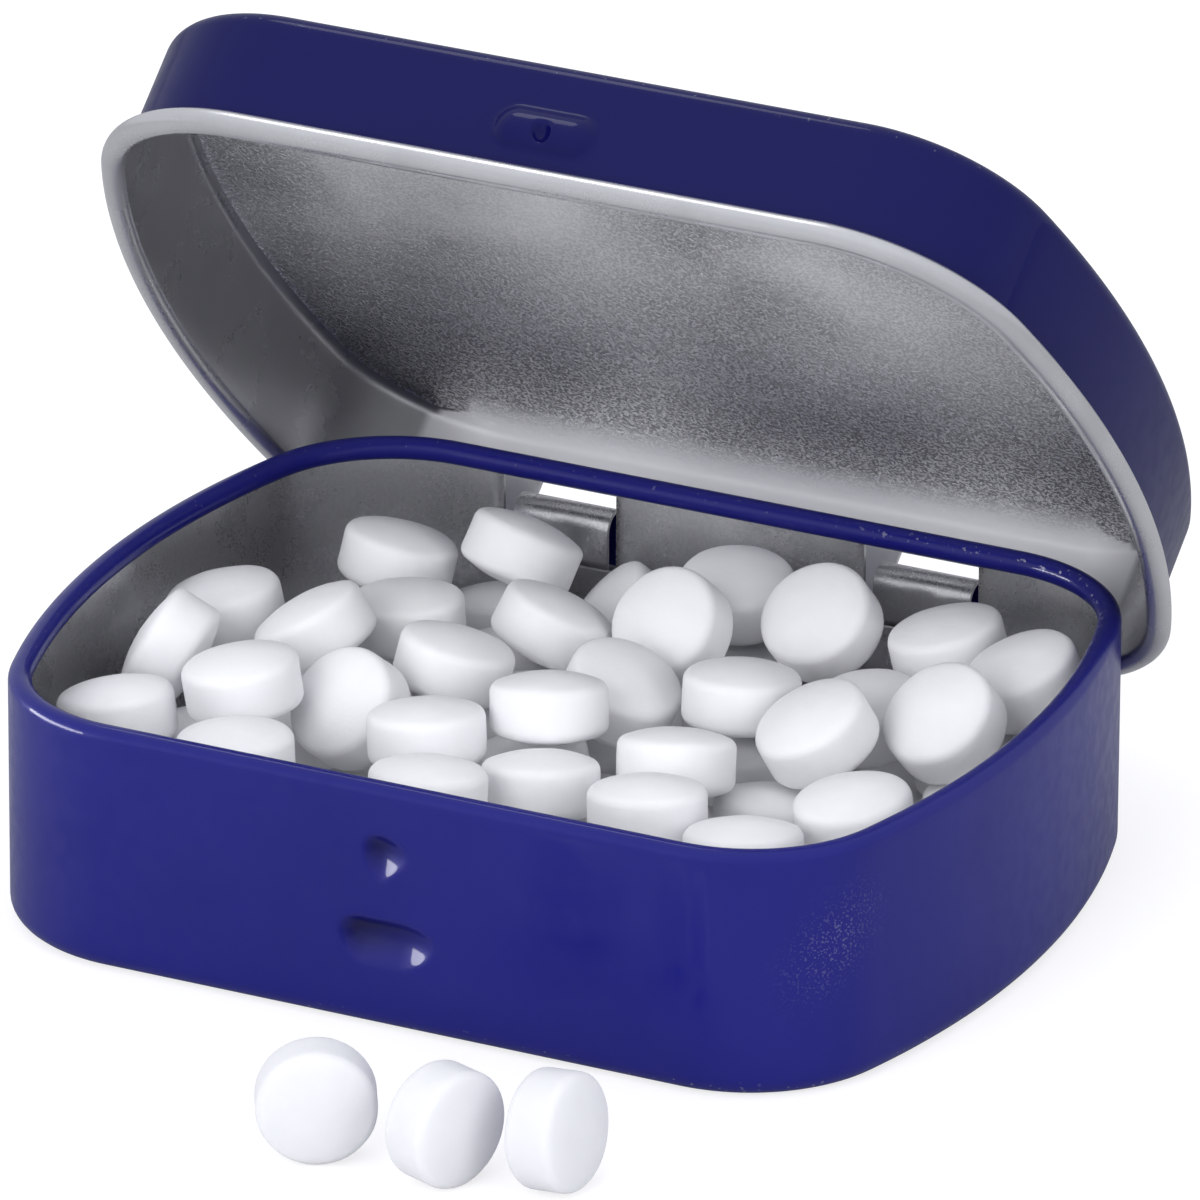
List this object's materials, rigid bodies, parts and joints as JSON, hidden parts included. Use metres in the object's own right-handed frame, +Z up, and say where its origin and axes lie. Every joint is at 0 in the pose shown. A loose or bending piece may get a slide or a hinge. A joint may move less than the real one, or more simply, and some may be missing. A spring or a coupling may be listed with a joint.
{
  "type": "mint tin",
  "caption": "Hinged pocket tin of drawn sheet with rolled rims and bowed sides, lid open, filled with round mints.",
  "frame": {"origin": "centre of the flat underside of the tin body", "axes": "+X to the tin's right, -Y towards its front (thumb grip), +Z up; the lid stands open about the rear edge"},
  "size_m": [0.0636, 0.0735, 0.0503],
  "materials": {
    "blue_lacquer": "gloss",
    "bare_tin": "satin",
    "mint": "matte"
  },
  "bodies": {
    "tin": {"loose_mint_1": "mint", "loose_mint_2": "mint", "loose_mint_3": "mint", "mint_01": "mint", "mint_02": "mint", "mint_03": "mint", "mint_04": "mint", "mint_05": "mint", "mint_06": "mint", "mint_07": "mint", "mint_08": "mint", "mint_09": "mint", "mint_10": "mint", "mint_11": "mint", "mint_12": "mint", "mint_13": "mint", "mint_14": "mint", "mint_15": "mint", "mint_16": "mint", "mint_17": "mint", "mint_18": "mint", "mint_19": "mint", "mint_20": "mint", "mint_21": "mint", "mint_22": "mint", "mint_23": "mint", "mint_24": "mint", "mint_25": "mint", "mint_26": "mint", "mint_27": "mint", "mint_28": "mint", "mint_29": "mint", "mint_30": "mint", "mint_31": "mint", "mints_floor_layer": "mint", "mints_lower_heap": "mint", "tin_body": "blue_lacquer"},
    "lid": {"lid": "blue_lacquer"}
  },
  "joints": [
    {"name": "lid_hinge", "type": "hinge", "parent": "tin", "child": "lid", "pos_m": [0, 0.02465, 0.00755], "axis": [-1, 0, 0], "range_deg": [-51.3, 58.7]}
  ]
}
